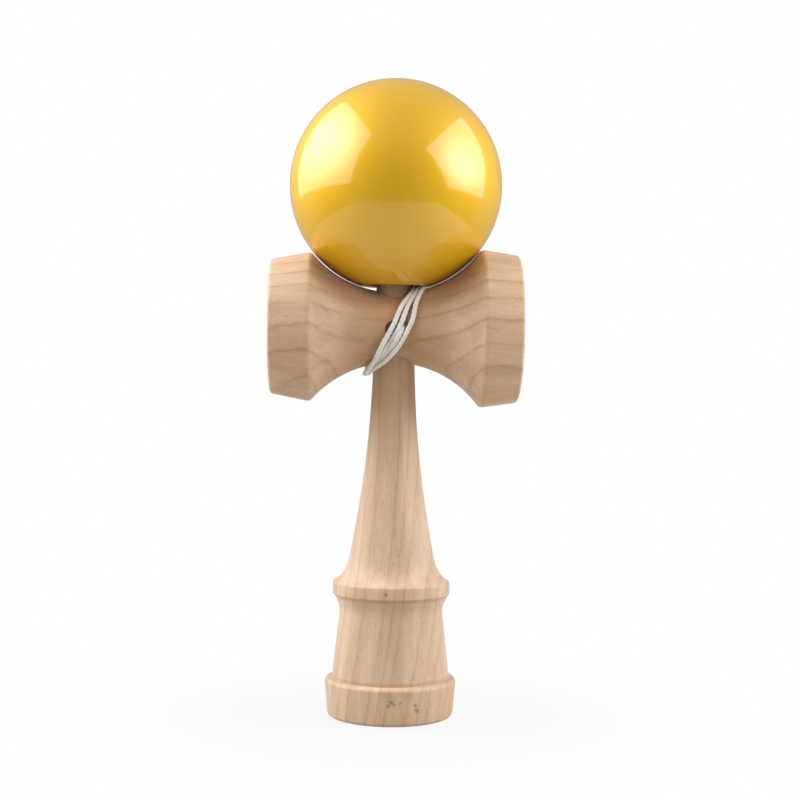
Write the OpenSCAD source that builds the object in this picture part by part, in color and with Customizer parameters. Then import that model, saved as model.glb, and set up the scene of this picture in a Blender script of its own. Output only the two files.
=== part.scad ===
// Kendama: a turned wooden handle with a spike, a cross-piece with two cups,
// a lacquered ball on the spike, and a string wound round the waist of the cross-piece.
// Millimetres. +Z is up, the foot stands on z = 0, and the cups face -X and +X.

/* [Ball] */
// Diameter of the ball
ball_d = 60; // [54:0.5:66]
// Diameter of the hole that takes the spike
bore_d = 21.6; // [20:0.2:23]
// Width of the bevel round the mouth of that hole
mouth_bevel = 0.5; // [0.4:0.1:2.2]
// Full angle of the drilled end of the hole
drill_angle = 118; // [110:1:130]
// Diameter of the string hole in the top of the ball
top_hole_d = 2.6; // [2.2:0.1:3.2]
// Diameter of the countersunk mouth of the string hole
top_sink_d = 7.6; // [7.4:0.1:9]
// Wood left between the drilled end of the hole and the top of the ball
top_wall = 8.5; // [6:0.1:14]

/* [Bead] */
// Diameter of the bead that holds the string inside the ball
bead_d = 8; // [7:0.5:9]
// Diameter of the hole through the bead
bead_hole_d = 2; // [1.8:0.1:2.6]

/* [Cross-piece] */
// Length over the two cup rims
cross_l = 70; // [67:0.2:74]
// Diameter at the middle of the waist
waist_d = 19.9; // [19:0.1:22]
// Radius of the hollow between the waist and the big cup
big_arc_r = 30; // [30:0.5:33]
// Radius of the hollow between the waist and the small cup
small_arc_r = 31; // [30:0.5:34]
// Diameter at the ridge behind the big cup
big_ridge_d = 44.8; // [43:0.2:47]
// Outside diameter of the big cup's rim
big_rim_d = 41.6; // [41:0.2:43]
// Width of the big cup's lip, from its dish to its rim
big_lip = 1.8; // [1.5:0.1:4]
// Depth of the big cup's dish
big_dish_depth = 9; // [6:0.5:11]
// Diameter at the ridge behind the small cup
small_ridge_d = 42.2; // [40:0.2:44]
// Outside diameter of the small cup's rim
small_rim_d = 37.8; // [37:0.2:40]
// Width of the small cup's lip, from its dish to its rim
small_lip = 1.7; // [1.5:0.1:4]
// Depth of the small cup's dish
small_dish_depth = 8; // [5:0.5:10]
// Rounding of the outer edge of both rims
rim_round = 1; // [0.5:0.1:1.2]
// Rounding of the inner edge of both rims
dish_round = 0.4; // [0.2:0.1:0.6]
// Rounding of both ridges
ridge_round = 0.8; // [0.3:0.1:1.2]

/* [String hole] */
// Distance of the string hole from the middle of the waist
hole_x = 1.8; // [1.5:0.1:2]
// Diameter of the hole that the string leaves by
string_hole_d = 2.4; // [2.4:0.1:3]
// Diameter of the countersunk mouth of that hole
string_sink_d = 5; // [5:0.1:6]
// Wood left between the knot's pocket and the surface of the waist
pocket_wall = 1.7; // [1.4:0.1:2.2]

/* [Handle] */
// Height of the cross-piece's axis above the foot
axis_h = 109.7; // [104:0.1:118]
// Radius of the spike's tip
tip_r = 2.2; // [1.6:0.1:2.8]
// Diameter of the neck at the lower end of its tapered seat
neck_d = 11.9; // [11:0.1:12.2]
// Diameter of the seat at its upper end, where the spike starts
spike_d = 10.3; // [9.4:0.1:10.6]
// Clearance between the tapered seat and its hole, on the radius
seat_clear = 0.05; // [0.03:0.01:0.1]
// Largest diameter of the base
base_d = 37.2; // [36:0.1:40]
// Diameter of the base where it turns under to the foot
foot_d = 35.4; // [34:0.1:36.5]
// Height of the base up to its ledge
base_h = 10.8; // [9:0.1:13]
// Rounding of the base's upper edge
base_round = 1.6; // [0.8:0.1:1.6]
// Rounding round the foot
foot_round = 1.2; // [0.6:0.1:1.5]
// Width of the flat ring that the foot stands on
foot_ring = 1.9; // [1:0.1:4]
// Depth of the dish in the foot
foot_dish_depth = 7; // [4:0.5:9]
// Diameter of the body where it leaves the base
body_low_d = 33.2; // [31:0.1:33.4]
// Diameter of the body under the collar
body_top_d = 29.1; // [27:0.1:30.5]
// Height of the body, from the base's ledge to the collar's cove
body_h = 18.2; // [15:0.1:22]
// Diameter of the collar
collar_d = 33.1; // [32.5:0.1:35]
// Height of the cove under the collar
cove_h = 5.6; // [4:0.1:7]
// Height of the collar's band
band_h = 3.2; // [2.5:0.1:4.5]
// Rounding of the collar's edges
collar_round = 0.7; // [0.3:0.1:0.9]
// Diameter of the grip above the collar's flare
grip_d = 23.7; // [22:0.1:25]
// Height of the flare from the collar to the grip
flare_h = 7.4; // [6:0.1:9]

/* [String] */
// Diameter of the string
string_d = 1.4; // [1:0.1:1.4]
// Diameter of the stopper knots
knot_d = 3.8; // [3.4:0.1:3.9]
// Thickness of the stopper knot under the bead
knot_h = 2.4; // [2:0.1:2.8]
// Clear distance between two turns that lie side by side
turn_gap = 0.45; // [0.4:0.05:0.5]
// How far the turns swing to either side, over the waist and under it
swing = 7.6; // [7.5:0.1:7.7]

/* [Hidden] */

beech = [0.87, 0.72, 0.55];
gold = [0.88, 0.68, 0.16];
cotton = [0.93, 0.92, 0.89];
ivory = [0.92, 0.88, 0.78];

$fn = 96;
// Angle between two points of an arc in an outline
arc_step = 4;
// Points along a curve, and round a rounded corner
curve_steps = 16;
corner_steps = 5;
// Gap between pieces that lie against each other, and between the ball and the waist
rest_gap = 0.25;
ball_gap = 0.1;
// How far a cutter runs past the surface that it opens
past = 20;

// Outline helpers. An outline point is [radius, height].
function unit(v) = v / norm(v);
function mix(a, b, t) = a + (b - a) * t;
function clamp01(t) = max(0, min(1, t));
function ease(t) = let (u = clamp01(t)) u * u * (3 - 2 * u);
function arc(c, r, a0, a1) =
    let (n = max(1, ceil(abs(a1 - a0) / arc_step)))
    [for (i = [0 : n]) c + r * [cos(mix(a0, a1, i / n)), sin(mix(a0, a1, i / n))]];
function bezier(p, q, r, s) =
    [for (i = [1 : curve_steps])
        let (t = i / curve_steps, u = 1 - t)
        u * u * u * p + 3 * u * u * t * q + 3 * u * t * t * r + t * t * t * s];
// A corner at p, between a and b, rounded to radius r, or less where a wall is too short
function rounded(a, p, b, r) =
    let (ua = unit(a - p), ub = unit(b - p), half = acos(ua * ub) / 2,
         reach = min(r / tan(half), 0.48 * norm(a - p), 0.48 * norm(b - p)),
         fit = reach * tan(half), c = p + unit(ua + ub) * fit / sin(half),
         s = p + ua * reach - c, e = p + ub * reach - c)
    [for (i = [0 : corner_steps])
        c + fit * unit(mix(s, e, i / corner_steps))];
// Radius of a dish from its mouth and its depth
function dish_r(d, depth) = (d * d / 4 + depth * depth) / (2 * depth);

// The handle's tapered seat in the cross-piece
seat_low = axis_h - waist_d / 2 - 3;
seat_top = axis_h + waist_d / 2 + 1.5;
function seat_r(z) = mix(neck_d, spike_d, (z - seat_low) / (seat_top - seat_low)) / 2;
seat_slope = (neck_d - spike_d) / 2 / (seat_top - seat_low);

// The waist's hollow, and where it ends at a ridge
function side_r(x) = x < 0 ? small_arc_r : big_arc_r;
function waist_r(x) = waist_d / 2 + side_r(x) - sqrt(pow(side_r(x), 2) - x * x);
function ridge_x(d, arc_r) = sqrt(pow(arc_r, 2) - pow(waist_d / 2 + arc_r - d / 2, 2));
big_ridge_x = ridge_x(big_ridge_d, big_arc_r);
small_ridge_x = -ridge_x(small_ridge_d, small_arc_r);

// The ball rests where its surface first meets the waist's hollow
ball_r = ball_d / 2;
mouth_d = bore_d + 2 * mouth_bevel;
function perch(x) =
    let (u = sign(x) * min(abs(x), ball_r)) waist_r(u) + sqrt(ball_r * ball_r - u * u);
ball_z = axis_h + ball_gap
    + max(perch(mouth_d / 2), perch(-mouth_d / 2), perch(big_ridge_x), perch(small_ridge_x));
mouth_z = ball_z - sqrt(ball_r * ball_r - mouth_d * mouth_d / 4);

// The end of the ball's hole, then the bead, its knot and the spike's tip below it
tip_gap = 0.8;
drill_apex_z = ball_z + ball_r - top_wall + top_hole_d / 2 / tan(drill_angle / 2);
function drill_z(r) = drill_apex_z - r / tan(drill_angle / 2);
bead_z = drill_apex_z - (bead_d / 2 + rest_gap) / sin(drill_angle / 2);
bead_knot_z = bead_z - sqrt(bead_d * bead_d - bead_hole_d * bead_hole_d) / 2 - rest_gap - knot_h;
tip_z = bead_knot_z - tip_gap;

// The string's knot fills its pocket, against the side of the hole
knot_gap = 0.1;
knot_low = seat_r(axis_h) + knot_gap;
pocket_end = waist_d / 2 - pocket_wall;
knot_high = pocket_end - knot_gap;
root_off = (string_hole_d - string_d) / 2 - knot_gap;
root_x = hole_x + root_off;
pocket_d = knot_d + 2 * root_off + 2 * knot_gap;

module ken() {
    body_z = base_h + body_h;
    band_z = body_z + cove_h;
    band_top = band_z + band_h;
    grip_z = band_top + flare_h;
    foot_dish_d = foot_d - 2 * foot_round - 2 * foot_ring;
    dish = dish_r(foot_dish_d, foot_dish_depth);
    dish_edge = asin(foot_dish_d / 2 / dish);
    foot = [foot_d / 2, 0];
    shoulder = [base_d / 2, base_h - 0.3];
    ledge = [body_low_d / 2, base_h];
    band_low = [collar_d / 2, band_z];
    band_high = [collar_d / 2, band_top];
    cove = [body_top_d / 2, body_z];
    grip = [grip_d / 2, grip_z];
    neck = [neck_d / 2, seat_low];
    tip = [0, tip_z - tip_r];
    tip_lean = 10;
    flare = bezier(band_high - [0.2, 0], band_high + [-3.1, 1.8], grip + [0.6, -3], grip);
    outline = concat(
        [for (p = arc([0, foot_dish_depth - dish], dish, 90, 90 - dish_edge)) p],
        rounded([foot_dish_d / 2, 0], foot, shoulder, foot_round),
        rounded(foot, shoulder, ledge, base_round),
        [ledge, cove],
        bezier(cove, cove + [0, 2.6], band_low + [-1.2, -2.2], band_low + [-0.5, -0.6]),
        rounded(band_low + [-0.5, -0.6], band_low, band_high, 0.4),
        rounded(band_low, band_high, flare[3], collar_round),
        [for (i = [3 : curve_steps - 1]) flare[i]],
        bezier(grip, grip + [-3.2, 17], neck + [seat_slope * 18, -18], neck),
        [[spike_d / 2, seat_top]],
        bezier([spike_d / 2, seat_top], [spike_d / 2 - seat_slope * 11, seat_top + 11],
               tip + tip_r * [cos(tip_lean), sin(tip_lean)] + 9 * [sin(tip_lean), -cos(tip_lean)],
               tip + tip_r * [cos(tip_lean), sin(tip_lean)]),
        [for (a = [20 : 10 : 80]) tip + tip_r * [cos(a), sin(a)]],
        [[0, tip_z]]);
    color(beech) rotate_extrude() polygon(outline);
}

// Half of the cross-piece's outline from the dish to the ridge, toward +X
function cup(rim_d, lip_w, depth, ridge) =
    let (dish_d = rim_d - 2 * lip_w, r = dish_r(dish_d, depth), end = cross_l / 2,
         open = asin(dish_d / 2 / r),
         lip = [dish_d / 2, end], rim = [rim_d / 2, end],
         bowl = arc([0, end - depth + r], r, -90, open - 90))
    concat([for (i = [0 : len(bowl) - 2]) bowl[i]],
           rounded(bowl[len(bowl) - 2], lip, rim, dish_round),
           rounded(lip, rim, ridge, rim_round));

module sarado() {
    big_c = [waist_d / 2 + big_arc_r, 0];
    small_c = [waist_d / 2 + small_arc_r, 0];
    big_a = asin(big_ridge_x / big_arc_r);
    small_a = asin(small_ridge_x / small_arc_r);
    big_ridge = [big_ridge_d / 2, big_ridge_x];
    small_ridge = [small_ridge_d / 2, small_ridge_x];
    big_hollow = arc(big_c, big_arc_r, 180 - big_a, 180);
    small_hollow = arc(small_c, small_arc_r, 180, 180 - small_a);
    big_cup = cup(big_rim_d, big_lip, big_dish_depth, big_ridge);
    small_cup = [for (p = cup(small_rim_d, small_lip, small_dish_depth,
                              [small_ridge_d / 2, -small_ridge_x])) [p[0], -p[1]]];
    last = len(small_hollow) - 1;
    outline = concat(
        big_cup,
        rounded(big_cup[len(big_cup) - 1], big_ridge, big_hollow[1], ridge_round),
        [for (i = [1 : len(big_hollow) - 1]) big_hollow[i]],
        [for (i = [1 : last - 1]) small_hollow[i]],
        rounded(small_hollow[last - 1], small_ridge, small_cup[len(small_cup) - 1], ridge_round),
        [for (i = [len(small_cup) - 1 : -1 : 0]) small_cup[i]]);
    color(beech) difference() {
        translate([0, 0, axis_h]) rotate([0, 90, 0]) rotate_extrude() polygon(outline);
        // The tapered hole for the handle
        translate([0, 0, axis_h - past])
            cylinder(h = 2 * past, r1 = seat_r(axis_h - past) + seat_clear,
                     r2 = seat_r(axis_h + past) + seat_clear);
        // The string hole, its pocket inside and its countersunk mouth
        translate([hole_x, 0, axis_h]) rotate([90, 0, 0]) {
            cylinder(h = past, d = string_hole_d);
            cylinder(h = pocket_end, d = pocket_d);
            translate([0, 0, waist_d / 2 - (string_sink_d - string_hole_d) / 2])
                cylinder(h = past, d1 = string_hole_d, d2 = string_hole_d + 2 * past);
        }
    }
}

module tama() {
    bore = bore_d / 2;
    mouth = mouth_d / 2;
    hole = top_hole_d / 2;
    sink_z = ball_z + sqrt(ball_r * ball_r - top_sink_d * top_sink_d / 4);
    color(gold) difference() {
        translate([0, 0, ball_z]) sphere(r = ball_r);
        rotate_extrude() polygon([
            [0, mouth_z - past], [mouth + past, mouth_z - past],
            [bore, mouth_z + mouth - bore], [bore, drill_z(bore)],
            [hole, drill_z(hole)], [hole, sink_z - top_sink_d / 2 + hole],
            [hole + past, sink_z - top_sink_d / 2 + hole + past],
            [0, sink_z - top_sink_d / 2 + hole + past]]);
    }
}

module bead() {
    color(ivory) translate([0, 0, bead_z]) difference() {
        sphere(d = bead_d);
        translate([0, 0, -bead_d]) cylinder(h = 2 * bead_d, d = bead_hole_d);
    }
}

// A stopper knot of thickness h that stands on z = 0, with the string's end in its top
module knot(h) {
    across = knot_d / 2 - h / 2;
    difference() {
        rotate_extrude() polygon(concat(
            [[0, 0]],
            [for (p = arc([across, h / 2], h / 2, -90, 90)) p],
            [[0, h]]));
        translate([0, 0, h - string_d]) cylinder(h = past, d = string_d + 2 * knot_gap);
    }
}

module sarado_knot() {
    color(cotton) translate([root_x, -knot_low, axis_h]) rotate([90, 0, 0])
        knot(knot_high - knot_low);
}

module bead_knot() {
    color(cotton) translate([0, 0, bead_knot_z]) knot(knot_h);
}

// A tube of n sides along points, in triangles
module tube(points, r, n) {
    last = len(points) - 1;
    along = [for (i = [0 : last])
        unit(points[min(i + 1, last)] - points[max(i - 1, 0)])];
    first_side = unit(cross(along[0], abs(along[0][2]) < 0.9 ? [0, 0, 1] : [1, 0, 0]));
    side = [for (i = 0, s = first_side; i <= last;
                 i = i + 1, s = i <= last ? unit(s - (s * along[i]) * along[i]) : s) s];
    rings = [for (i = [0 : last], k = [0 : n - 1])
        points[i] + r * (cos(360 * k / n) * side[i] + sin(360 * k / n) * cross(along[i], side[i]))];
    walls = [for (i = [0 : last - 1], k = [0 : n - 1])
        let (a = i * n + k, b = i * n + (k + 1) % n)
        each [[a, a + n, b + n], [a, b + n, b]]];
    start_cap = [for (k = [1 : n - 2]) [0, k, k + 1]];
    end_cap = [for (k = [1 : n - 2]) [last * n, last * n + k + 1, last * n + k]];
    polyhedron(points = rings, faces = concat(walls, start_cap, end_cap));
}

// The winding. The angle runs from the top of the waist over the front, the bottom
// and the back, and goes on past 360 with each turn. Turn 0 starts at the string hole.
wind_end = 1320;
ring_step = 15;
root_bend = 2.8;
root_straight = pocket_end + 0.6;
sway = 0.5;
drift = -0.45;
sway_x = 0.25;
turn_room = 1.8;
lie = string_d / 2 + rest_gap;
pitch = string_d + turn_gap;

// Middle of the band of turns, and how it slants
function band_x(a) = sway_x + swing * cos(a) + drift * cos(2 * a) + sway * cos(3 * a);
function band_slant(a) =
    (swing * sin(a) + 2 * drift * sin(2 * a) + 3 * sway * sin(3 * a)) / (waist_d / 2 + 2);
// Distance between turns: a little wider at the front, bunched under the waist
function turn_step(a) =
    (pitch + 0.25 * ease((a - 20) / 60) - 1.15 * ease((a - 110) / 60) + 0.9 * ease((a - 190) / 50))
    * sqrt(1 + pow(band_slant(a), 2));
// Turn 0 leaves the hole in a gap that turn 1 makes for it
function turn_x(n, a) =
    n == 0 && a < 180
        ? band_x(a) + mix(root_x - band_x(90), 1.5 * turn_step(180), ease((a - 100) / 80))
        : band_x(a) + turn_step(a) * (2 - n - a / 360)
            + (n == 1 ? turn_room * ease((a - 35) / 50) * (1 - ease((a - 115) / 55)) : 0);
// Odd turns ride over the others under the waist
function turn_lift(n, a) =
    n % 2 == 0 ? 0
    : (pitch + 0.05) * ease((a - 85) / 40) * (1 - ease((a - 200) / 60));
// Distance of the string's middle from the cross-piece's axis
function lie_r(x, off) =
    waist_d / 2 + side_r(x) - sqrt(pow(side_r(x) - off, 2) - x * x);
function round_waist(x, r, a) = [x, -r * sin(a), axis_h + r * cos(a)];
root_end = 90 + root_bend / (waist_d / 2 + 0.5) * 180 / PI;
root_hump = root_straight + root_bend - lie_r(0, lie);
function wind_point(total) =
    let (n = floor(total / 360), a = total - 360 * n, x = turn_x(n, a),
         hump = n == 0 ? root_hump * (1 - ease((a - root_end) / 30)) : 0)
    round_waist(x, lie_r(x, lie + turn_lift(n, a)) + hump, a);
root = concat(
    [for (r = [knot_high - string_d + 0.05, pocket_end, root_straight])
        [root_x, -r, axis_h]],
    [for (f = [22.5 : 22.5 : 90])
        let (a = mix(90, root_end, 1 - cos(f)))
        round_waist(turn_x(0, a), root_straight + root_bend * sin(f), a)]);
turns = [for (a = [120 : ring_step : wind_end]) wind_point(a)];
wind_tail = turns[len(turns) - 1];
tail_way = unit(wind_tail - wind_point(wind_end - 3));
winding = concat(root, turns, [wind_tail + string_d * tail_way]);

// Least clear distance between two turns, on points more than 54 degrees apart
fine = concat(root, [for (a = [120 : 3 : wind_end]) wind_point(a)]);
fine_gap = min([for (i = [0 : len(fine) - 1], j = [0 : len(fine) - 1])
    if (j > i + 18) norm(fine[i] - fine[j])]) - string_d;
echo(least_gap_between_turns = fine_gap);

// From the winding up behind the ball, over its top and into its string hole.
// The points are taken from the middle of the ball.
riser_route = [
    [-3.9, 12.8, -40.5], [-3.2, 15.2, -36], [-2.5, 18, -31], [-1.7, 20.9, -26],
    [-1, 23.7, -21], [-0.3, 26.4, -16], [0, 28.6, -11.5], [0, 30.2, -6.5],
    [0, 30.9, -1.5], [0, 30.7, 3.5], [0, 29.8, 8.5], [0, 27.9, 13.5],
    [0, 25, 18.5], [0, 21.1, 22.8], [0, 16.7, 26.2], [0, 12, 28.6],
    [0, 7.4, 30.1], [0, 4.2, 30.8], [0, 2.3, 30.6], [0, 0.9, 29.8],
    [0, 0.2, 28.8]];
riser_end = [0, 0, ball_z + 27.6];
riser = concat([wind_tail + string_d * tail_way, wind_tail + 2 * string_d * tail_way],
               [for (p = riser_route) p + [0, 0, ball_z]],
               [riser_end, riser_end - [0, 0, string_d]]);

module string_winding() {
    color(cotton) tube(winding, string_d / 2, 6);
}

module string_riser() {
    color(cotton) tube(riser, string_d / 2, 8);
}

module string_drop() {
    low = bead_knot_z + knot_h - string_d + 0.05;
    color(cotton) translate([0, 0, low])
        cylinder(h = riser_end[2] - string_d - low, d = string_d);
}

ken();
sarado();
tama();
bead();
sarado_knot();
string_winding();
string_riser();
string_drop();
bead_knot();
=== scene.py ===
# %% [markdown]
# A kendama is a Japanese skill toy: a turned wooden handle with a spike, a cross-piece with
# two cups, and a ball on a string. This lesson dresses its CAD model for a studio picture.
# The CAD model comes in as a fixed frame. Each visible piece is modelled again with smoother
# curves and real surfaces, and rides on the CAD body that it belongs to.

# %% Load the frame
import math
import bpy
import numpy as np
from mathutils import Matrix, Vector


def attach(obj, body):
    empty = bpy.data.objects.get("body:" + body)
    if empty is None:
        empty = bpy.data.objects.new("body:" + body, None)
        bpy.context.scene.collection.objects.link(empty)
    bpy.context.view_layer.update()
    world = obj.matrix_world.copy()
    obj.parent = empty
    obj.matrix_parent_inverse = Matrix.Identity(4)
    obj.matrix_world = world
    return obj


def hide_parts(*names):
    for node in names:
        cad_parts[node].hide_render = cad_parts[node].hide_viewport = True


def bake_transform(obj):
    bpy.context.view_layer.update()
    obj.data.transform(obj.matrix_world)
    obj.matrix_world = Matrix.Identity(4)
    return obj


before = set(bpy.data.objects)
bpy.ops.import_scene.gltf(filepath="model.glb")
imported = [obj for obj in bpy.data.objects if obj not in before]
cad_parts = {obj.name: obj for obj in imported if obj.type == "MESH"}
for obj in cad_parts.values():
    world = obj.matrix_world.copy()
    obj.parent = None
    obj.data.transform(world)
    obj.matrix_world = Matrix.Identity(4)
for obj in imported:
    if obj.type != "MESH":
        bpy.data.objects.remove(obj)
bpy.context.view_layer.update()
MM = 0.001

# %% [markdown]
# The camera stands close to the toy, a little below the ball, and looks almost level. Its
# place was found by laying the outline of the turned pieces over the photograph. A small turn
# and a small roll are left in, because the toy doesn't stand quite square in the picture.

# %% Camera
bpy.ops.object.select_all(action="DESELECT")
turn, pan, tip, roll = (math.radians(a) for a in (-1.5, 0.226, 0.755, 0.694))
stand = Matrix.Rotation(turn, 3, "Z") @ Vector((0.18, -427.8, 94.89))
bpy.ops.object.camera_add(location=stand * MM)
camera = bpy.context.object
aim = Matrix.Rotation(turn - pan, 3, "Z") @ Matrix.Rotation(math.pi / 2 - tip, 3, "X")
camera.rotation_euler = (aim @ Matrix.Rotation(roll, 3, "Z")).to_euler()
camera.data.sensor_width = 36
camera.data.lens = 67.88
camera.data.clip_start = 0.01
bpy.context.scene.camera = camera
bpy.context.scene.view_settings.view_transform = "Standard"
print("camera at", tuple(round(v, 4) for v in camera.location))

# %% [markdown]
# The string comes first, because its length is fixed. It leaves the cross-piece by a small
# hole in the front of the waist, is wound three times and a third round it, climbs behind the
# ball, and goes down through the top of the ball to a bead. The route follows the
# CAD source's, in millimetres, but where the CAD keeps air between the turns, here they are
# drawn up until they press into each other, as soft string does.

# %% Sizes that the string needs
BALL_D = 60.0
AXIS_H = 109.7
WAIST_D = 19.9
BIG_ARC_R = 30.0
SMALL_ARC_R = 30.7
STRING_D = 1.4
REST_GAP = 0.25
PRESS = 0.15
PITCH = STRING_D - PRESS
SWING = 6.8
DRIFT = -0.45
SWAY = 0.5
SWAY_X = 0.35
BOW = 0.85
PARTING = 0.85
LIFT = 1.2
HOLE_X = 1.8
ROOT_X = HOLE_X + 0.4
ROOT_BEND = 2.8
BALL_GAP = 0.1
BALL_Z = AXIS_H + BALL_GAP + WAIST_D / 2 + BIG_ARC_R
POCKET_WALL = 1.7
POCKET_END = WAIST_D / 2 - POCKET_WALL
KNOT_LOW = 5.625
KNOT_HIGH = POCKET_END - 0.1
KNOT_H = 2.4
ROOT_STRAIGHT = POCKET_END + 0.6
TOP_HOLE_R = 1.3
HALF_DRILL = math.radians(59)
TOP_WALL = 8.5
DRILL_APEX = BALL_Z + BALL_D / 2 - TOP_WALL + TOP_HOLE_R / math.tan(HALF_DRILL)
BEAD_R = 4
BEAD_HOLE_R = 1
BEAD_Z = DRILL_APEX - (BEAD_R + REST_GAP) / math.sin(HALF_DRILL)
BEAD_KNOT_Z = BEAD_Z - math.sqrt(BEAD_R ** 2 - BEAD_HOLE_R ** 2) - REST_GAP - KNOT_H
WIND_END = 1320


def mix(a, b, t):
    return a + (b - a) * t


def ease(t):
    u = min(1.0, max(0.0, t))
    return u * u * (3 - 2 * u)


def sin_d(a):
    return math.sin(math.radians(a))


def cos_d(a):
    return math.cos(math.radians(a))


print("string", STRING_D, "mm thick, turns", round(PITCH, 2), "mm apart")

# %% [markdown]
# The turns lie in a band that swings to the right over the waist and to the left under it.
# An angle of 0 is the top of the waist, 90 the front and 180 the bottom. The turns bunch up
# under the waist, where every other one rides over its neighbour.

# %% Winding route


def side_r(x):
    return SMALL_ARC_R if x < 0 else BIG_ARC_R


def band_x(a):
    bow = BOW * ease((a - 50) / 40) * (1 - ease((a - 135) / 40))
    return SWAY_X + SWING * cos_d(a) + DRIFT * cos_d(2 * a) + SWAY * cos_d(3 * a) + bow


def turn_step(a):
    slant = SWING * sin_d(a) + 2 * DRIFT * sin_d(2 * a) + 3 * SWAY * sin_d(3 * a)
    slant /= WAIST_D / 2 + 2
    spread = 0.5 * ease((a - 20) / 60) - 1.25 * ease((a - 110) / 60) + 0.75 * ease((a - 190) / 50)
    return (PITCH + spread) * math.sqrt(1 + slant * slant)


def turn_x(n, a):
    if n == 0 and a < 180:
        return band_x(a) + mix(ROOT_X - band_x(90), 1.5 * turn_step(180), ease((a - 100) / 80))
    gap = PARTING * ease((a - 35) / 50) * (1 - ease((a - 140) / 35)) if n == 1 else 0
    return band_x(a) + turn_step(a) * (2 - n - a / 360) + gap


def lie_r(x, off):
    return WAIST_D / 2 + side_r(x) - math.sqrt((side_r(x) - off) ** 2 - x * x)


def round_waist(x, r, a):
    return (x, -r * sin_d(a), AXIS_H + r * cos_d(a))


LIE_GAP = 0.08
LIE = STRING_D / 2 + LIE_GAP
ROOT_END = 90 + math.degrees(ROOT_BEND / (WAIST_D / 2 + 0.5))
ROOT_HUMP = ROOT_STRAIGHT + ROOT_BEND - lie_r(0, LIE)


def wind_point(total):
    n = int(total // 360)
    a = total - 360 * n
    x = turn_x(n, a)
    lift = LIFT * ease((a - 85) / 40) * (1 - ease((a - 200) / 60)) if n % 2 else 0
    hump = ROOT_HUMP * (1 - ease((a - ROOT_END) / 30)) if n == 0 else 0
    return round_waist(x, lie_r(x, LIE + lift) + hump, a)


root = [(ROOT_X, -r, AXIS_H) for r in (KNOT_HIGH - STRING_D + 0.05, POCKET_END, ROOT_STRAIGHT)]
for f in (22.5, 45, 67.5, 90):
    a = mix(90, ROOT_END, 1 - cos_d(f))
    root.append(round_waist(turn_x(0, a), ROOT_STRAIGHT + ROOT_BEND * sin_d(f), a))
turns = [wind_point(a) for a in range(114, WIND_END + 1, 6)]
print("winding", len(root) + len(turns), "points")

# %% [markdown]
# From the last turn the string climbs behind the ball, over its top and down through the
# string hole to the bead. A smooth curve through the guide points gives the line, which is
# then cut into steps of equal length, so that the twist of the strands stays even.

# %% The rest of the route, and one smooth line
tail = np.array(turns[-1])
tail_way = tail - np.array(wind_point(WIND_END - 3))
tail_way = tail_way / np.linalg.norm(tail_way)
climb = [
    (-3.9, 12.8, -40.5), (-3.2, 15.2, -36), (-2.5, 18, -31), (-1.7, 20.9, -26),
    (-1, 23.7, -21), (-0.3, 26.4, -16), (0, 28.6, -11.5), (0, 30.2, -6.5),
    (0, 30.9, -1.5), (0, 30.7, 3.5), (0, 29.8, 8.5), (0, 27.9, 13.5),
    (0, 25, 18.5), (0, 21.1, 22.8), (0, 16.7, 26.2), (0, 12, 28.6),
    (0, 7.4, 30.1), (0, 4.2, 30.8), (0, 2.3, 30.6), (0, 0.9, 29.8),
    (0, 0.2, 28.8), (0, 0, 27.6), (0, 0, 24.0), (0, 0, 18.0)]
drop_end = BEAD_KNOT_Z + KNOT_H - STRING_D + 0.05
guides = np.array(
    root + turns
    + [tuple(tail + STRING_D * tail_way), tuple(tail + 2 * STRING_D * tail_way)]
    + [(x, y, z + BALL_Z) for x, y, z in climb]
    + [(0, 0, drop_end)])


def smooth_line(points, parts):
    ends = np.vstack([2 * points[0] - points[1], points, 2 * points[-1] - points[-2]])
    line = []
    for p, q, r, s in zip(ends, ends[1:], ends[2:], ends[3:]):
        gaps = [math.sqrt(np.linalg.norm(b - a)) for a, b in ((p, q), (q, r), (r, s))]
        leave = ((q - p) / gaps[0] - (r - p) / (gaps[0] + gaps[1]) + (r - q) / gaps[1]) * gaps[1]
        meet = ((r - q) / gaps[1] - (s - q) / (gaps[1] + gaps[2]) + (s - r) / gaps[2]) * gaps[1]
        for i in range(parts):
            t = i / parts
            line.append(
                (2 * t ** 3 - 3 * t ** 2 + 1) * q + (t ** 3 - 2 * t ** 2 + t) * leave
                + (3 * t ** 2 - 2 * t ** 3) * r + (t ** 3 - t ** 2) * meet)
    return np.array(line + [points[-1]])


def even_steps(line, step):
    run = np.concatenate([[0], np.cumsum(np.linalg.norm(np.diff(line, axis=0), axis=1))])
    count = int(round(run[-1] / step))
    marks = np.linspace(0, run[-1], count + 1)
    return np.column_stack([np.interp(marks, run, line[:, k]) for k in range(3)]), run[-1]


route, string_length = even_steps(smooth_line(guides, 8), 0.36)
print("string length", round(string_length, 1), "mm in", len(route), "steps")

# %% [markdown]
# The string is laid from three strands, so its section has three lobes. A curve with that
# section as its bevel, and a tilt that grows along its length, gives the twisted rope. It is
# made a mesh at the end.

# %% Section of the string
STRAND_LAY = 4.4


def rope_section(name):
    section = bpy.data.curves.new(name, "CURVE")
    section.dimensions = "2D"
    loop = section.splines.new("POLY")
    loop.points.add(17)
    for k, point in enumerate(loop.points):
        a = 20 * k
        r = (0.60 + 0.10 * abs(cos_d(1.5 * a)) ** 0.8) * MM * STRING_D / 1.4
        point.co = (r * cos_d(a), r * sin_d(a), 0, 1)
    loop.use_cyclic_u = True
    holder = bpy.data.objects.new(name, section)
    bpy.context.scene.collection.objects.link(holder)
    return holder


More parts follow.
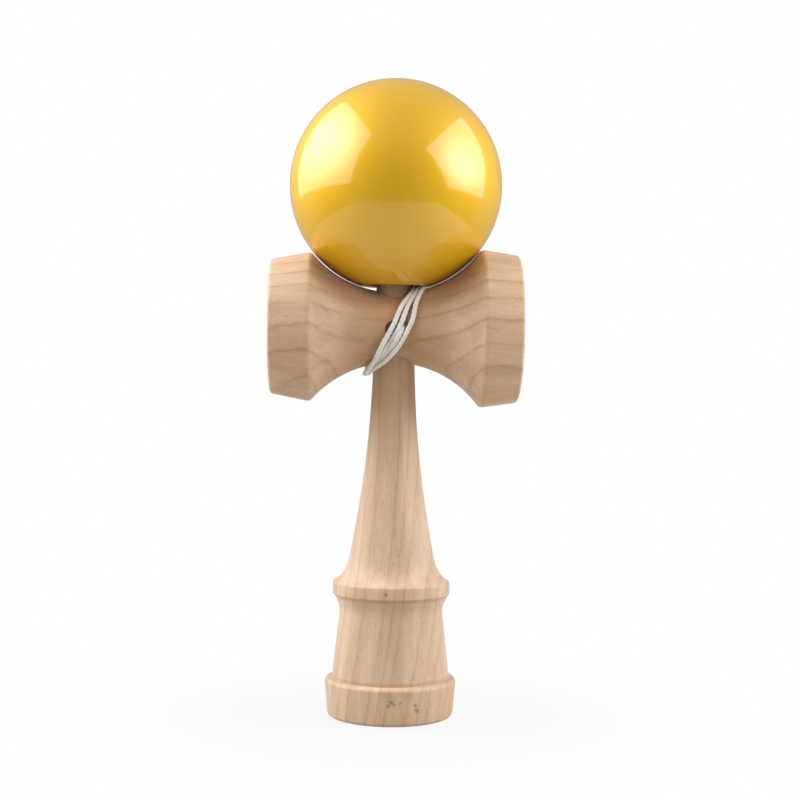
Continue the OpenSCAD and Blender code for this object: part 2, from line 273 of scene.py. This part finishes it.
def lay_rope(name, points, section, closed=False, swell=1.0):
    line = bpy.data.curves.new(name, "CURVE")
    line.dimensions = "3D"
    line.twist_mode = "MINIMUM"
    line.bevel_mode = "OBJECT"
    line.bevel_object = section
    line.use_fill_caps = not closed
    spline = line.splines.new("POLY")
    spline.points.add(len(points) - 1)
    step = np.linalg.norm(points[1] - points[0])
    for k, (point, place) in enumerate(zip(spline.points, points)):
        point.co = (*(place * MM), 1)
        point.tilt = 2 * math.pi * k * step / STRAND_LAY
        point.radius = swell
    spline.use_cyclic_u = closed
    rope = bpy.data.objects.new(name, line)
    bpy.context.scene.collection.objects.link(rope)
    bpy.ops.object.select_all(action="DESELECT")
    rope.select_set(True)
    bpy.context.view_layer.objects.active = rope
    bpy.ops.object.convert(target="MESH")
    rope = bpy.context.object
    bpy.ops.object.mode_set(mode="EDIT")
    bpy.ops.mesh.select_all(action="SELECT")
    bpy.ops.mesh.normals_make_consistent(inside=False)
    bpy.ops.object.mode_set(mode="OBJECT")
    bpy.ops.object.shade_smooth_by_angle(angle=math.radians(60))
    print(name, len(rope.data.polygons), "faces")
    return rope


string_section = rope_section("rope_section")
string = lay_rope("string", route, string_section)

# %% [markdown]
# Each end of the string is tied in a stopper knot. One sits in a pocket behind the string
# hole, the other under the bead. A drawn-up overhand knot is close to a trefoil, so the
# trefoil's line carries the same rope, pressed a little thinner.

# %% Stopper knots


def knot_line(across, thick):
    body = 1.2
    reach = (across - body) / 6
    rise = (thick - body) / 2
    t = np.linspace(0, 2 * math.pi, 73)[:-1]
    return np.column_stack([
        reach * (np.sin(t) + 2 * np.sin(2 * t)),
        reach * (np.cos(t) - 2 * np.cos(2 * t)),
        -rise * np.sin(3 * t)])


KNOT_D = 3.8
KNOT_SWELL = 0.86
flat_knot = knot_line(KNOT_D, KNOT_H)
upright = flat_knot[:, [0, 2, 1]] * [1, -1, 1]
waist_knot = lay_rope(
    "waist_knot", upright + [ROOT_X, -(KNOT_LOW + KNOT_HIGH) / 2, AXIS_H],
    string_section, True, KNOT_SWELL)
end_knot = lay_rope(
    "end_knot", flat_knot + [0, 0, BEAD_KNOT_Z + KNOT_H / 2],
    string_section, True, KNOT_SWELL)
bpy.data.objects.remove(string_section)

# %% [markdown]
# The wooden pieces, the ball and the bead are all turned. On a lathe a tool follows an
# outline while the work spins, and the same idea works here: one vertex is extruded along the
# outline, and the Spin tool carries the outline round the axis. The doubled seam and poles
# are merged, and the normals are turned outwards.

# %% Lathe


def turned(name, outline, steps, centre, axis, across, along):
    bpy.ops.object.select_all(action="DESELECT")
    bpy.ops.mesh.primitive_plane_add(size=MM, location=(0, 0, 0))
    piece = bpy.context.object
    piece.name = name
    places = [(centre + r * across + h * along) * MM for r, h in outline]
    bpy.ops.object.mode_set(mode="EDIT")
    bpy.ops.mesh.select_all(action="SELECT")
    bpy.ops.mesh.merge(type="CENTER")
    bpy.ops.transform.translate(value=places[0])
    for here, there in zip(places, places[1:]):
        bpy.ops.mesh.extrude_region_move(TRANSFORM_OT_translate={"value": there - here})
    bpy.ops.mesh.select_all(action="SELECT")
    bpy.ops.mesh.spin(steps=steps, angle=2 * math.pi, center=centre * MM, axis=axis)
    bpy.ops.mesh.select_all(action="SELECT")
    bpy.ops.mesh.remove_doubles(threshold=0.002 * MM)
    bpy.ops.mesh.normals_make_consistent(inside=False)
    bpy.ops.object.mode_set(mode="OBJECT")
    bpy.ops.object.shade_smooth_by_angle(angle=math.radians(32))
    print(name, len(outline), "outline points,", len(piece.data.polygons), "faces")
    return piece


UP = Vector((0, 0, 1))
RIGHT = Vector((1, 0, 0))
FRONT = Vector((0, -1, 0))
FOOT = Vector((0, 0, 0))

# %% [markdown]
# Outlines are drawn from arcs, smooth curves and rounded corners. An outline point is a
# radius and a height, in millimetres.

# %% Outline helpers


def arc(c, r, a0, a1, step=3):
    n = max(1, math.ceil(abs(a1 - a0) / step))
    return [(c[0] + r * cos_d(mix(a0, a1, i / n)), c[1] + r * sin_d(mix(a0, a1, i / n)))
            for i in range(n + 1)]


def bezier(p, q, r, s, parts=20):
    curve = []
    for i in range(1, parts + 1):
        t = i / parts
        u = 1 - t
        curve.append(tuple(
            u ** 3 * a + 3 * u * u * t * b + 3 * u * t * t * c + t ** 3 * d
            for a, b, c, d in zip(p, q, r, s)))
    return curve


def rounded(a, p, b, r, parts=6):
    corner = Vector(p)
    ua = (Vector(a) - corner).normalized()
    ub = (Vector(b) - corner).normalized()
    half = ua.angle(ub) / 2
    room_a = 0.48 * (Vector(a) - corner).length
    room_b = 0.48 * (Vector(b) - corner).length
    reach = min(r / math.tan(half), room_a, room_b)
    fit = reach * math.tan(half)
    c = corner + (ua + ub).normalized() * fit / math.sin(half)
    s = corner + ua * reach - c
    e = corner + ub * reach - c
    return [tuple(c + fit * s.lerp(e, i / parts).normalized()) for i in range(parts + 1)]


def dish_r(d, depth):
    return (d * d / 4 + depth * depth) / (2 * depth)


print("corner test", rounded((0, 0), (1, 0), (1, 1), 0.2)[0])

# %% [markdown]
# The handle is one turned piece: a dished foot, a base with a soft shoulder, a body that
# narrows to a collar, a grip that narrows to the neck, and the spike. The neck carries a
# straight taper, which the cross-piece is pushed on to.

# %% Handle
SEAT_LOW = AXIS_H - WAIST_D / 2 - 3
SEAT_TOP = AXIS_H + WAIST_D / 2 + 1.5
NECK_D = 11.9
SPIKE_D = 10.3
SEAT_SLOPE = (NECK_D - SPIKE_D) / 2 / (SEAT_TOP - SEAT_LOW)
TIP_R = 2.2
TIP_LEAN = 10
NECK_STRAIGHT = 21
FOOT_D = 35.4
FOOT_ROUND = 1.2
FOOT_RIM = 1.9
FOOT_DEPTH = 7
TIP_Z = BEAD_KNOT_Z - 0.8


def seat_r(z):
    return mix(NECK_D, SPIKE_D, (z - SEAT_LOW) / (SEAT_TOP - SEAT_LOW)) / 2


def handle_outline():
    dish_d = FOOT_D - 2 * FOOT_ROUND - 2 * FOOT_RIM
    dish = dish_r(dish_d, FOOT_DEPTH)
    edge = math.degrees(math.asin(dish_d / 2 / dish))
    foot, shoulder, ledge = (FOOT_D / 2, 0), (18.6, 10.5), (16.6, 10.8)
    cove, band_low, band_high = (14.55, 29), (16.55, 34.6), (16.55, 37.8)
    grip, neck = (11.85, 45.2), (NECK_D / 2, SEAT_LOW)
    under_band = (16.05, 34)
    flare = bezier((16.35, 37.8), (13.45, 39.6), (12.45, 42.2), grip)
    tip = (0, TIP_Z - TIP_R)
    tip_side = (TIP_R * cos_d(TIP_LEAN), tip[1] + TIP_R * sin_d(TIP_LEAN))
    line = arc((0, FOOT_DEPTH - dish), dish, 90, 90 - edge)
    line += rounded((dish_d / 2, 0), foot, shoulder, FOOT_ROUND)
    line += rounded(foot, shoulder, ledge, 1.6)
    line += [ledge, cove]
    line += bezier(cove, (14.55, 31.6), (15.35, 32.4), under_band)
    line += rounded(under_band, band_low, band_high, 0.4)
    line += rounded(band_low, band_high, flare[3], 0.7)
    line += flare[3:-1]
    under_neck = (neck[0] + SEAT_SLOPE * NECK_STRAIGHT, neck[1] - NECK_STRAIGHT)
    line += [grip] + bezier(grip, (8.65, 62.2), under_neck, neck, 32)
    line += [(SPIKE_D / 2, SEAT_TOP)]
    line += bezier(
        line[-1], (SPIKE_D / 2 - SEAT_SLOPE * 11, SEAT_TOP + 11),
        (tip_side[0] + 9 * sin_d(TIP_LEAN), tip_side[1] - 9 * cos_d(TIP_LEAN)), tip_side, 24)
    line += [(TIP_R * cos_d(a), tip[1] + TIP_R * sin_d(a)) for a in range(18, 90, 8)]
    return line + [(0, TIP_Z)]


handle = turned("handle", handle_outline(), 144, FOOT, UP, RIGHT, UP)

# %% [markdown]
# The cross-piece is turned about its own length: the big cup on the right, the small cup on
# the left, and two hollows that meet at the waist. Then it is drilled, as in the workshop:
# a tapered hole for the handle, and a small hole for the string, with a pocket for the knot
# behind it and a countersunk mouth. The string has worn that mouth wide, so one more cut opens
# it. The drills are turned pieces too, cut away by a Boolean.

# %% Cross-piece on the lathe
CROSS_L = 70.0
BIG_RIDGE_D = 44.8
SMALL_RIDGE_D = 42.2
CROSS_AT = Vector((0, 0, AXIS_H))
LIP_ROUND = 0.4
RIM_ROUND = 1.0
RIDGE_ROUND = 1.6
RIDGE_TOE = 2


def ridge_x(d, r):
    return math.sqrt(r * r - (WAIST_D / 2 + r - d / 2) ** 2)


def cup(rim_d, lip_w, depth, ridge):
    dish_d = rim_d - 2 * lip_w
    r = dish_r(dish_d, depth)
    end = CROSS_L / 2
    wide = math.degrees(math.asin(dish_d / 2 / r))
    bowl = arc((0, end - depth + r), r, -90, wide - 90)
    lip, rim = (dish_d / 2, end), (rim_d / 2, end)
    return bowl[:-1] + rounded(bowl[-2], lip, rim, LIP_ROUND) + rounded(lip, rim, ridge, RIM_ROUND)


def side_outline(rim_d, lip_w, depth, ridge_d, arc_r):
    ridge = (ridge_d / 2, ridge_x(ridge_d, arc_r))
    lean = math.degrees(math.asin(ridge[1] / arc_r))
    hollow = arc((WAIST_D / 2 + arc_r, 0), arc_r, 180 - lean, 180, 2)
    line = cup(rim_d, lip_w, depth, ridge)
    toe = (ridge[0] - RIDGE_TOE * sin_d(lean), ridge[1] - RIDGE_TOE * cos_d(lean))
    return line + rounded(line[-1], ridge, toe, RIDGE_ROUND) + hollow[1:]


big_side = side_outline(41.6, 1.8, 9, BIG_RIDGE_D, BIG_ARC_R)
small_side = side_outline(37.8, 1.7, 8, SMALL_RIDGE_D, SMALL_ARC_R)
cross_outline = big_side + [(r, -h) for r, h in reversed(small_side[:-1])]
cross_piece = turned("cross_piece", cross_outline, 160, CROSS_AT, RIGHT, UP, RIGHT)

# %% Drill the cross-piece


def cut_away(piece, drill):
    bpy.ops.object.select_all(action="DESELECT")
    piece.select_set(True)
    bpy.context.view_layer.objects.active = piece
    cut = piece.modifiers.new("drill", "BOOLEAN")
    cut.operation = "DIFFERENCE"
    cut.solver = "EXACT"
    cut.object = drill
    bpy.ops.object.modifier_apply(modifier="drill")
    bpy.data.objects.remove(drill)
    bpy.ops.object.shade_smooth_by_angle(angle=math.radians(32))
    print(piece.name, "now has", len(piece.data.polygons), "faces")


REACH = 20
BORE_FIT = 0.05
bore_low = seat_r(AXIS_H - REACH) + BORE_FIT
bore_high = seat_r(AXIS_H + REACH) + BORE_FIT
bore_line = [(0, -REACH), (bore_low, -REACH), (bore_high, REACH), (0, REACH)]
cut_away(cross_piece, turned("bore_drill", bore_line, 96, CROSS_AT, UP, RIGHT, UP))
sink_from = WAIST_D / 2 - 1.3
POCKET_R = 2.4
HOLE_R = 1.2
hole_line = [(0, 0), (POCKET_R, 0), (POCKET_R, POCKET_END), (HOLE_R, POCKET_END), (HOLE_R, sink_from),
             (HOLE_R + REACH, sink_from + REACH), (0, sink_from + REACH)]
hole_at = Vector((HOLE_X, 0, AXIS_H))
cut_away(cross_piece, turned("string_drill", hole_line, 48, hole_at, FRONT, RIGHT, FRONT))
WORN_R = 2.5
WORN_OUT = 14
worn_from = POCKET_END - 0.75
worn_line = [(0, worn_from), (2.1, worn_from), (WORN_R, WAIST_D / 2), (WORN_R, WORN_OUT), (0, WORN_OUT)]
worn_at = Vector((-0.4, 0, AXIS_H - 0.8))
cut_away(cross_piece, turned("worn_mouth", worn_line, 48, worn_at, FRONT, RIGHT, FRONT))

# %% [markdown]
# The ball is drilled from below for the spike and from above for the string. Its outline
# goes round the outside and back through the holes, so one spin makes the wall, the drilled
# end of the hole, the bevelled mouth and the countersunk string hole. The spike's hole is
# narrower than in the CAD, where it has to clear turns that lie further apart.

# %% Ball
BALL_R = BALL_D / 2
BORE_R = 9.3
MOUTH_R = 9.7
MOUTH_Z = BALL_Z - math.sqrt(BALL_R ** 2 - MOUTH_R ** 2)
SINK_R = 3.8


def ball_outline():
    sink_z = BALL_Z + math.sqrt(BALL_R ** 2 - SINK_R ** 2)
    low = math.degrees(math.asin((MOUTH_Z - BALL_Z) / BALL_R))
    high = math.degrees(math.asin((sink_z - BALL_Z) / BALL_R))
    shell = arc((0, BALL_Z), BALL_R, low, high, 2)
    mouth, inner = (MOUTH_R, MOUTH_Z), (BORE_R, MOUTH_Z + MOUTH_R - BORE_R)
    sink, throat = (SINK_R, sink_z), (TOP_HOLE_R, sink_z - SINK_R + TOP_HOLE_R)
    drill = [(r, DRILL_APEX - r / math.tan(HALF_DRILL)) for r in (TOP_HOLE_R, BORE_R)]
    line = rounded(inner, mouth, shell[1], 0.2) + shell[1:-1]
    line += rounded(shell[-2], sink, throat, 0.4) + rounded(sink, throat, drill[0], 0.4)
    line += drill + rounded(drill[1], inner, mouth, 0.2)
    return line + line[:1]


ball = turned("ball", ball_outline(), 160, FOOT, UP, RIGHT, UP)

# %% [markdown]
# The bead stops the string from slipping out of the ball. It is a small round bead with a
# hole, its hole's edges softened by moulding.

# %% Bead
BEAD_ROUND = 0.3


def bead_outline():
    high = math.degrees(math.acos(BEAD_HOLE_R / BEAD_R))
    shell = arc((0, BEAD_Z), BEAD_R, -high, high, 6)
    top, bottom = (BEAD_HOLE_R, shell[-1][1]), (BEAD_HOLE_R, shell[0][1])
    line = rounded(top, bottom, shell[1], BEAD_ROUND, 4) + shell[1:-1]
    line += rounded(shell[-2], top, bottom, BEAD_ROUND, 4)
    return line + line[:1]


bead = turned("string_bead", bead_outline(), 64, FOOT, UP, RIGHT, UP)

# %% [markdown]
# Each piece rides on its CAD body and stands for its CAD node. The string is left where it
# was laid, in place of the CAD string's three nodes.

# %% Hang the pieces on the frame
for piece, body, node, slot in (
        (handle, "ken", "ken", "handle_wood"),
        (cross_piece, "sarado", "sarado", "cross_wood"),
        (ball, "tama", "tama", "gold_lacquer"),
        (bead, "bead", "bead", "bead_plastic"),
        (waist_knot, "sarado", "sarado_knot", "cotton_string"),
        (end_knot, "bead", "bead_knot", "cotton_string")):
    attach(piece, body)
    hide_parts(node)
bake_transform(string)
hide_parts("string_winding", "string_riser", "string_drop")
print("string declared at", round(string_length), "mm")

# %% [markdown]
# Materials are built from nodes. To keep the sums readable, a small class wraps a node's
# output, and ordinary Python arithmetic on it adds Math nodes. Any other node comes from one
# method, which takes the node's type, its settings and its inputs.

# %% Shader helpers


class Wire:
    def __init__(self, finish, socket):
        self.finish = finish
        self.socket = socket

    def math(self, operation, first, second=0.0):
        return self.finish.node("ShaderNodeMath", {"operation": operation}, {0: first, 1: second})

    def __add__(self, other):
        return self.math("ADD", self, other)

    def __radd__(self, other):
        return self.math("ADD", other, self)

    def __sub__(self, other):
        return self.math("SUBTRACT", self, other)

    def __rsub__(self, other):
        return self.math("SUBTRACT", other, self)

    def __mul__(self, other):
        return self.math("MULTIPLY", self, other)

    def __rmul__(self, other):
        return self.math("MULTIPLY", other, self)

    def __truediv__(self, other):
        return self.math("DIVIDE", self, other)

    def __pow__(self, other):
        return self.math("POWER", self, other)

    def __mod__(self, other):
        return self.math("FLOORED_MODULO", self, other)

    def sine(self):
        return self.math("SINE", self)

    def rise(self, low, high):
        return self.finish.node(
            "ShaderNodeMapRange", {"interpolation_type": "SMOOTHSTEP"},
            {"Value": self, "From Min": low, "From Max": high})


class Finish:
    def __init__(self, name, holder=None):
        self.holder = holder or bpy.data.materials.new(name)
        self.holder.use_nodes = True
        self.tree = self.holder.node_tree
        self.tree.nodes.clear()

    def node(self, kind, settings=None, sockets=None, out=0):
        made = self.tree.nodes.new(kind)
        for key, value in (settings or {}).items():
            setattr(made, key, value)
        for key, value in (sockets or {}).items():
            if isinstance(value, Wire):
                self.tree.links.new(value.socket, made.inputs[key])
            else:
                made.inputs[key].default_value = value
        return Wire(self, made.outputs[out]) if made.outputs else made

    def blend(self, factor, first, second):
        return self.node(
            "ShaderNodeMix", {"data_type": "RGBA"}, {0: factor, 6: first, 7: second}, 2)

    def noise(self, place, scale, detail=2.0, rough=0.5):
        return self.node(
            "ShaderNodeTexNoise", None,
            {"Vector": place, "Scale": scale, "Detail": detail, "Roughness": rough})

    def millimetres(self):
        spot = self.node("ShaderNodeTexCoord", None, None, "Object")
        return self.node("ShaderNodeVectorMath", {"operation": "SCALE"}, {0: spot, "Scale": 1000.0})

    def stretched(self, place, x, y, z):
        return self.node("ShaderNodeVectorMath", {"operation": "MULTIPLY"}, {0: place, 1: (x, y, z)})

    def surface(self, sockets):
        shade = self.node("ShaderNodeBsdfPrincipled", None, sockets)
        self.node("ShaderNodeOutputMaterial", None, {"Surface": shade})
        return self.holder


def wear(piece, finish):
    piece.data.materials.clear()
    piece.data.materials.append(finish)
    print(piece.name, "wears", finish.name, "with", len(finish.node_tree.nodes), "nodes")


# %% [markdown]
# Both wooden pieces are bare beech: pale pinkish brown, with darker lines where one year's
# growth ends, and many short dark flecks along the grain. Growth layers are nearly flat over
# so small a piece. Where a turned surface cuts through them, they show as lines that bend with
# the shape. In the cross-piece the layers lie flat along its length and lean towards the
# back. In the handle they stand upright and run out to the left towards the foot.
# Painted shade darkens the waist, the neck under the cross-piece and the wood round the ball's
# seat, where it also stands for the gold that the ball reflects; it stays when the ball is lifted.
# Two thin lines of painted shade lie in the handle's creases, under the collar band and over the
# ledge, and a few specks mark the handle. A speck is a place across and up, a size and a depth.

# %% Beech
# Warm brown of the painted shade; near the ball it also stands for the gold's painted reflection
PAINTED_SHADE = (0.45, 0.235, 0.095, 1)
LINE = (0.36, 0.165, 0.075, 1)
FLECK = (0.23, 0.10, 0.045, 1)
FULL_TURN = 6.283
QUARTER_TURN = 1.571


def beech(name, pale, warm, force, layer, grain, painted_shade, specks):
    wood = Finish(name)
    place = wood.millimetres()
    x, y, z = (wood.node("ShaderNodeSeparateXYZ", None, {0: place}, k) for k in range(3))
    long = wood.stretched(place, *grain)
    year = layer(x, y, z) + 0.3 * (wood.noise(place, 0.11, 2.0) - 0.5)
    line = ((FULL_TURN * year + QUARTER_TURN).sine() * 0.5 + 0.5) ** 16
    bold = wood.noise(long, 0.33, 1.0).rise(0.3, 0.65)
    late = 1 - (year % 1.0).rise(0.0, 0.6)
    band = wood.noise(long, 0.24, 1.0).rise(0.3, 0.7)
    streak = wood.noise(long, 1.1, 3.0, 0.65).rise(0.3, 0.75)
    dash = wood.noise(long, 2.6, 1.0).rise(0.62, 0.72)
    dash = dash * wood.noise(place, 0.15, 1.0).rise(0.4, 0.65)
    grit = wood.noise(place, 1.6, 3.0, 0.7) - 0.5
    tone = wood.blend(0.25 * late + 0.3 * streak + 0.45 * band + 0.6 * grit, pale, warm)
    # Painted shade is laid on the tone here, by the piece's shade mask
    tone = wood.blend(painted_shade(x, y, z), tone, PAINTED_SHADE)
    tone = wood.blend(force * (0.25 + 0.75 * bold) * line, tone, LINE)
    tone = wood.blend(0.35 * dash, tone, FLECK)
    flat = wood.stretched(place, 1, 0.15, 1)
    ragged = wood.noise(place, 1.8, 2.0) - 0.5
    for spot, size, depth in specks:
        middle = (spot[0], -2.4, spot[1])
        away = wood.node("ShaderNodeVectorMath", {"operation": "DISTANCE"}, {0: flat, 1: middle}, 1)
        tone = wood.blend((1 - (away + size * ragged).rise(0.2 * size, size)) * depth, tone, FLECK)
    height = 0.5 * streak - 0.5 * dash - 0.3 * line + 0.4 * grit
    bump = wood.node("ShaderNodeBump", None, {"Strength": 0.12, "Distance": 0.0001, "Height": height})
    return wood.surface({
        "Base Color": tone, "Roughness": 0.55 + 0.12 * streak, "Normal": bump,
        "Specular IOR Level": 0.5, "Sheen Weight": 0.3})


def cross_layer(x, y, z):
    years = (117.7 - z - 0.48 * y + 0.028 * x) / 5.62
    return years + 0.17 * (years * 1.047 + 0.3).sine()


def handle_layer(x, y, z):
    lean = 0.184 * z - 0.00108 * z * z
    years = (x - 0.115 * y - lean + 14.0) / 3.65
    return years + 0.3 * (years * 1.9 + 0.5).sine()


# Painted shade on the cross-piece: darker on the waist, and darker and warmer round the ball's seat
def cross_painted_shade(x, y, z):
    # Distances are squared, in square millimetres
    out = x * x
    rise = z - BALL_Z
    from_ball = out + y * y + rise * rise
    # Painted shadow of the ball with its warm gold reflection, which stays when the ball is lifted
    ball_shadow = (1 - from_ball.rise(1100, 1640)) * (1 - out.rise(450, 600))
    return 0.5 * (1 - out.rise(80, 330)) * (1 - ball_shadow) + 0.85 * ball_shadow


# Heights of two thin lines of painted shade in the handle's creases, under the collar band and over the
# ledge
BAND_SHADE_Z = 34.1
LEDGE_SHADE_Z = 11.2


# Painted shade on the handle: the two crease lines, and a neck that darkens up towards the cross-piece
def handle_painted_shade(x, y, z):
    under_band = (z - BAND_SHADE_Z) * (z - BAND_SHADE_Z)
    over_ledge = (z - LEDGE_SHADE_Z) * (z - LEDGE_SHADE_Z)
    lines = 0.4 * (1 - under_band.rise(0.0, 0.5)) + 0.4 * (1 - over_ledge.rise(0.0, 0.5))
    return 0.4 * z.rise(66, 96) + lines


handle_specks = [
    ((-1.2, 8.8), 2.4, 0.2), ((4.6, 8.6), 2.2, 0.2), ((-0.1, 7.1), 1.0, 0.85),
    ((0.6, 6.4), 0.8, 0.75), ((-0.8, 6.1), 0.8, 0.7), ((2.4, 6.8), 0.8, 0.6),
    ((6.5, 6.0), 0.8, 0.6), ((7.0, 4.6), 0.9, 0.7), ((-1.9, 36.2), 0.6, 0.85),
    ((-0.8, 50.0), 0.6, 0.75), ((1.2, 76.0), 0.5, 0.5), ((-0.9, 69.6), 0.5, 0.5),
    ((3.2, 50.1), 0.5, 0.6)]
wear(handle, beech(
    "handle_beech", (0.71, 0.515, 0.355, 1), (0.54, 0.355, 0.215, 1), 0.28,
    handle_layer, (1, 1, 0.08), handle_painted_shade, handle_specks))
wear(cross_piece, beech(
    "cross_beech", (0.71, 0.485, 0.305, 1), (0.53, 0.325, 0.175, 1), 0.43,
    cross_layer, (0.08, 1, 1), cross_painted_shade, []))

# %% [markdown]
# The ball is sprayed with a pearl gold paint and a clear gloss coat. Fine mica in the paint
# mirrors the light broadly, and the clear coat on top mirrors the lamps sharply.

# %% Gold lacquer
lacquer = Finish("pearl_gold")
spot = lacquer.millimetres()
flake = lacquer.noise(spot, 3.2, 2.0, 0.7)
cloud = lacquer.noise(spot, 0.08, 1.0)
gold = lacquer.blend(0.5 * flake + 0.3 * cloud, (0.79, 0.455, 0.006, 1), (0.89, 0.535, 0.01, 1))
ripple = lacquer.noise(spot, 0.35, 1.0)
orange_peel = lacquer.node(
    "ShaderNodeBump", None, {"Strength": 0.03, "Distance": 0.0003, "Height": ripple})
wear(ball, lacquer.surface({
    "Base Color": gold, "Metallic": 0.4, "Roughness": 0.55 + 0.1 * flake, "Normal": orange_peel,
    "Specular IOR Level": 0.1, "Coat Weight": 1.0, "Coat Roughness": 0.1, "Coat IOR": 1.75}))

# %% [markdown]
# The string is white twisted cotton, and the bead is moulded plastic. The string's strands
# and the grooves between them are in its mesh, so its finish only adds a slightly uneven
# white and a fine fluff.

# %% Cotton string and bead
cotton = Finish("cotton_string_white")
fluff = cotton.noise(cotton.millimetres(), 2.4, 3.0, 0.6)
white = cotton.blend(fluff, (0.86, 0.84, 0.79, 1), (0.95, 0.94, 0.90, 1))
fibre = cotton.node("ShaderNodeBump", None, {"Strength": 0.3, "Distance": 0.0001, "Height": fluff})
cotton_white = cotton.surface({
    "Base Color": white, "Roughness": 0.9, "Normal": fibre, "Sheen Weight": 0.25,
    "Specular IOR Level": 0.2})
for piece in (string, waist_knot, end_knot):
    wear(piece, cotton_white)

plastic = Finish("ivory_bead")
mottle = plastic.noise(plastic.millimetres(), 0.6, 2.0)
wear(bead, plastic.surface({
    "Base Color": plastic.blend(mottle, (0.78, 0.71, 0.56, 1), (0.85, 0.80, 0.67, 1)),
    "Roughness": 0.25 + 0.1 * mottle, "Coat Weight": 0.3}))

# %% [markdown]
# The toy stands on a white table in front of a white wall, with the room dark behind the
# camera. The table ends a hand's width past the toy on each side, and its edge shows in the
# ball. To the camera, table and wall are plain white, and the table keeps a soft shadow. The
# ball mirrors the table's own grey and the dim room, so its colour stays deep.

# %% Table and room
bpy.ops.object.select_all(action="DESELECT")
bpy.ops.mesh.primitive_plane_add(size=1, location=(0, 0, 0))
table = bpy.context.object
table.name = "table"
bpy.ops.object.mode_set(mode="EDIT")
bpy.ops.transform.resize(value=(0.62, 0.96, 1))
bpy.ops.transform.translate(value=(-0.01, 0.12, -0.0002))
bpy.ops.mesh.bevel(offset=0.15, segments=16, affect="VERTICES")
bpy.ops.object.mode_set(mode="OBJECT")

sheet = Finish("white_table")
seen = [sheet.node("ShaderNodeLightPath", None, None, ray)
        for ray in ("Is Camera Ray", "Is Transmission Ray")]
matt = sheet.node("ShaderNodeBsdfDiffuse", None, {"Color": (0.49, 0.475, 0.45, 1)})
plain = sheet.node("ShaderNodeEmission", None, {"Color": (1, 1, 1, 1), "Strength": 1.0})
spread = sheet.node("ShaderNodeTexCoord", None, None, "Object")
far = sheet.node("ShaderNodeVectorMath", {"operation": "LENGTH"}, {0: spread}, 1).rise(0.02, 0.1)
share = (0.88 + 0.12 * far) * (seen[0] + seen[1])
shown = sheet.node("ShaderNodeMixShader", None, {0: share, 1: matt, 2: plain})
sheet.node("ShaderNodeOutputMaterial", None, {"Surface": shown})
wear(table, sheet.holder)

room = bpy.data.worlds.new("room")
bpy.context.scene.world = room
air = Finish("room", room)
way = air.node("ShaderNodeTexCoord", None, None, "Generated")
back, up = (air.node("ShaderNodeSeparateXYZ", None, {0: way}, k) for k in (1, 2))
camera_ray = air.node("ShaderNodeLightPath", None, None, "Is Camera Ray")
wall = back.rise(-0.05, 0.35)
glow = air.blend(wall, (0.18, 0.175, 0.17, 1), (0.40, 0.40, 0.40, 1))
glow = air.blend(up.rise(0.3, 0.9), glow, (0.43, 0.43, 0.43, 1))
glow = air.blend(camera_ray, glow, (1, 1, 1, 1))
sky = air.node("ShaderNodeBackground", None, {"Color": glow, "Strength": 1.0})
air.node("ShaderNodeOutputWorld", None, {"Surface": sky})
print("table", tuple(round(v, 3) for v in table.dimensions))

# %% [markdown]
# Two large soft boxes light the toy, one on each side. They lean over it, and their mirror
# images on the ball have the slanted four-sided shape that such boxes leave on a sphere. Each
# box is brightest in the middle, where the bulb is behind the cloth.

# %% Soft boxes


def soft_box(name, low, high, near, far, radiance):
    middle = (low + high) / 2
    middle.y = (near + far) / 2
    face_up = (high - low).normalized()
    along = Vector((0, math.copysign(1, middle.x), 0))
    behind = along.cross(face_up)
    bpy.ops.object.light_add(type="AREA", location=middle)
    lamp = bpy.context.object
    lamp.name = name
    lamp.rotation_euler = Matrix((along, face_up, behind)).transposed().to_euler()
    lamp.data.shape = "RECTANGLE"
    lamp.data.size = far - near
    lamp.data.size_y = (high - low).length
    lamp.data.energy = radiance * math.pi * lamp.data.size * lamp.data.size_y
    cloth = Finish(name, lamp.data)
    spread = cloth.node("ShaderNodeNewGeometry", None, None, "Parametric")
    bulb = (0.5, 0.5, 0)
    off = cloth.node("ShaderNodeVectorMath", {"operation": "DISTANCE"}, {0: spread, 1: bulb}, 1)
    shine = cloth.blend(off.rise(0.05, 0.55), (1, 1, 1, 1), (0.3, 0.3, 0.3, 1))
    glow = cloth.node("ShaderNodeEmission", None, {"Color": shine, "Strength": 1.0})
    cloth.node("ShaderNodeOutputLight", None, {"Surface": glow})
    print(name, round(lamp.data.size, 3), "by", round(lamp.data.size_y, 3), "m,",
          round(lamp.data.energy, 2), "W")


height = BALL_Z * MM
soft_box(
    "left_box", Vector((-0.45, 0, height - 0.02)), Vector((-0.27, 0, height + 0.48)),
    -0.39, 0.34, 6.0)
soft_box(
    "right_box", Vector((0.50, 0, height - 0.05)), Vector((0.22, 0, height + 0.25)),
    -0.36, 0.12, 6.2)
